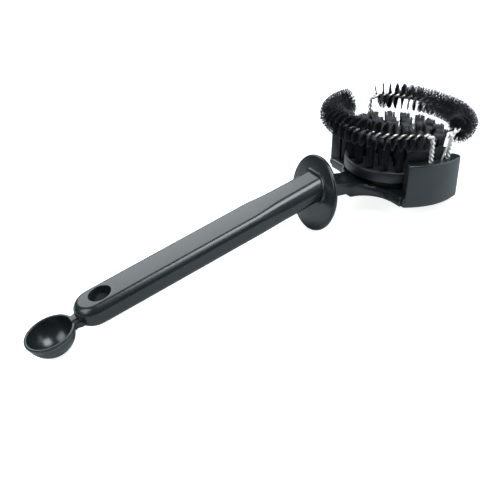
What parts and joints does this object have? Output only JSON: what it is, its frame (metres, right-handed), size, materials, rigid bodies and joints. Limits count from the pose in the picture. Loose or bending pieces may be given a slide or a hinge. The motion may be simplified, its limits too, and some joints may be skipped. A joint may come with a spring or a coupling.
{
  "type": "group head cleaning brush",
  "caption": "Charcoal plastic cleaning brush: round tufted screen brush between two jaws, arched twisted-wire brushes, round splash guard, flat-topped handle and measuring spoon.",
  "frame": {"origin": "centre of the head's flat underside", "axes": "+Z the way the bristles stand, +X from the handle to the far side of the head, XZ the mirror plane; the handle slopes down towards -X"},
  "size_m": [0.2287, 0.0744, 0.0887],
  "materials": {
    "body_plastic": "satin charcoal moulding with a very fine texture",
    "base_plastic": "satin charcoal moulding",
    "nylon_tuft": "black nylon filaments with a soft sheen",
    "nylon_spiral": "black nylon filaments held in a twisted wire",
    "bright_wire": "bright drawn steel wire",
    "anchor_metal": "flat drawn wire"
  },
  "bodies": {
    "tool": {"handle_grip": "body_plastic", "measuring_spoon": "body_plastic", "splash_guard": "body_plastic", "head_frame": "body_plastic", "left_jaw_liner": "body_plastic", "right_jaw_liner": "body_plastic"},
    "screen_brush": {"brush_base": "base_plastic", "base_spigot": "base_plastic", "tufts_centre": "nylon_tuft", "tufts_inner": "nylon_tuft", "tufts_middle": "nylon_tuft", "tufts_outer": "nylon_tuft", "anchors_centre": "anchor_metal", "anchors_inner": "anchor_metal", "anchors_middle": "anchor_metal", "anchors_outer": "anchor_metal"},
    "handle_side_brush": {"handle_side_upper_strand": "bright_wire", "handle_side_lower_strand": "bright_wire", "handle_side_bristles": "nylon_spiral"},
    "far_side_brush": {"far_side_upper_strand": "bright_wire", "far_side_lower_strand": "bright_wire", "far_side_bristles": "nylon_spiral"}
  },
  "joints": [
    {"name": "screen_brush_lift", "type": "slide", "parent": "tool", "child": "screen_brush", "axis": [0, 0, 1], "range_m": [0, 0.036]},
    {"name": "handle_side_brush_lift", "type": "slide", "parent": "tool", "child": "handle_side_brush", "axis": [0, 0, 1], "range_m": [0, 0.018]},
    {"name": "far_side_brush_lift", "type": "slide", "parent": "tool", "child": "far_side_brush", "axis": [0, 0, 1], "range_m": [0, 0.018]}
  ]
}
